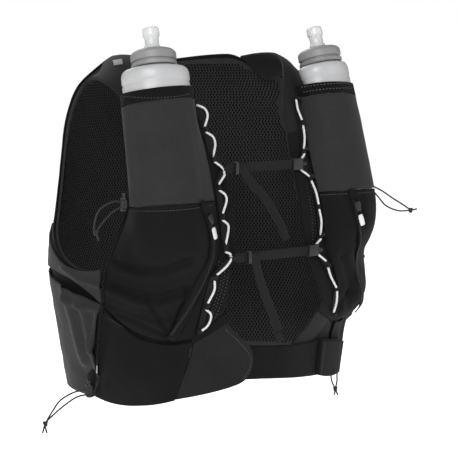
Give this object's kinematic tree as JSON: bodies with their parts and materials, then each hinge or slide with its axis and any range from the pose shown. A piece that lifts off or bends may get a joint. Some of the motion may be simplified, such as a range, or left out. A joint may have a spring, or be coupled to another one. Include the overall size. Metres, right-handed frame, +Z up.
{
  "type": "running hydration vest",
  "caption": "Close-fitting running hydration vest in its worn form, with chest flask pockets, two soft flasks, zipped pockets, laced front and a stretch waist belt.",
  "frame": {"origin": "on the centre line, at the height of the shoulder crests", "axes": "+Z up, the wearer faces -Y, +X is the wearer's left"},
  "size_m": [0.4774, 0.2909, 0.4411],
  "materials": {
    "stretch_cloth": "matt stretch knit, dark grey",
    "black_cloth": "matt light weave, near black",
    "mesh": "open spacer mesh, near black",
    "elastic": "ribbed elastic, black",
    "webbing": "flat woven tape, black",
    "cord": "braided cord, dark grey",
    "reflective": "light grey reflective braid and tab",
    "hard_plastic": "moulded, fine grain, black",
    "cap_plastic": "moulded, satin, mid grey",
    "clear_plastic": "soft clear film and silicone"
  },
  "bodies": {
    "vest": {"back_shell": "black_cloth", "mesh_lining": "mesh", "yoke_r": "stretch_cloth", "chest_panel_r": "black_cloth", "flask_hem_r": "elastic", "flask_pocket_r": "stretch_cloth", "zip_pocket_r": "black_cloth", "yoke_l": "stretch_cloth", "chest_panel_l": "black_cloth", "flask_hem_l": "elastic", "flask_pocket_l": "stretch_cloth", "zip_pocket_l": "black_cloth", "flask_r": "clear_plastic", "flask_cap_r": "cap_plastic", "bite_valve_r": "clear_plastic", "flask_l": "clear_plastic", "flask_cap_l": "cap_plastic", "bite_valve_l": "clear_plastic", "side_band_r": "stretch_cloth", "side_panel_r": "stretch_cloth", "side_band_l": "stretch_cloth", "side_panel_l": "stretch_cloth", "stash_pocket": "stretch_cloth", "waist_pocket_r": "black_cloth", "belt_wing_r": "stretch_cloth", "belt_binding_r": "black_cloth", "waist_pocket_l": "black_cloth", "belt_wing_l": "stretch_cloth", "belt_binding_l": "black_cloth", "belt_elastic": "elastic", "belt_tab": "black_cloth", "zip_r": "black_cloth", "zip_slider_r": "hard_plastic", "zip_pull_r": "reflective", "zip_l": "black_cloth", "zip_slider_l": "hard_plastic", "zip_pull_l": "reflective", "lace_r": "reflective", "lace_guide_r": "webbing", "lace_l": "reflective", "lace_guide_l": "webbing", "sternum_upper_strap": "webbing", "sternum_upper_buckle": "hard_plastic", "sternum_upper_keeper": "hard_plastic", "sternum_upper_tail": "webbing", "sternum_lower_strap": "webbing", "sternum_lower_buckle": "hard_plastic", "sternum_lower_keeper": "hard_plastic", "sternum_lower_tail": "webbing", "pocket_r_lock": "hard_plastic", "pocket_cord_r": "cord", "pocket_l_lock": "hard_plastic", "pocket_cord_l": "cord", "hem_r_lock": "hard_plastic", "hem_cord_r": "cord", "hem_cord_l": "cord"},
    "pocket_r_button_body": {"pocket_r_button": "hard_plastic"},
    "pocket_l_button_body": {"pocket_l_button": "hard_plastic"},
    "hem_r_button_body": {"hem_r_button": "hard_plastic"}
  },
  "joints": [
    {"name": "pocket_r_button_press", "type": "slide", "parent": "vest", "child": "pocket_r_button_body", "axis": [0, 0, -1], "range_m": [0, 0.003], "stiffness_N_per_m": 300, "springref_m": -0.002},
    {"name": "pocket_l_button_press", "type": "slide", "parent": "vest", "child": "pocket_l_button_body", "axis": [0, 0, -1], "range_m": [0, 0.003], "stiffness_N_per_m": 300, "springref_m": -0.002},
    {"name": "hem_r_button_press", "type": "slide", "parent": "vest", "child": "hem_r_button_body", "axis": [0, 0, -1], "range_m": [0, 0.003], "stiffness_N_per_m": 300, "springref_m": -0.002}
  ]
}
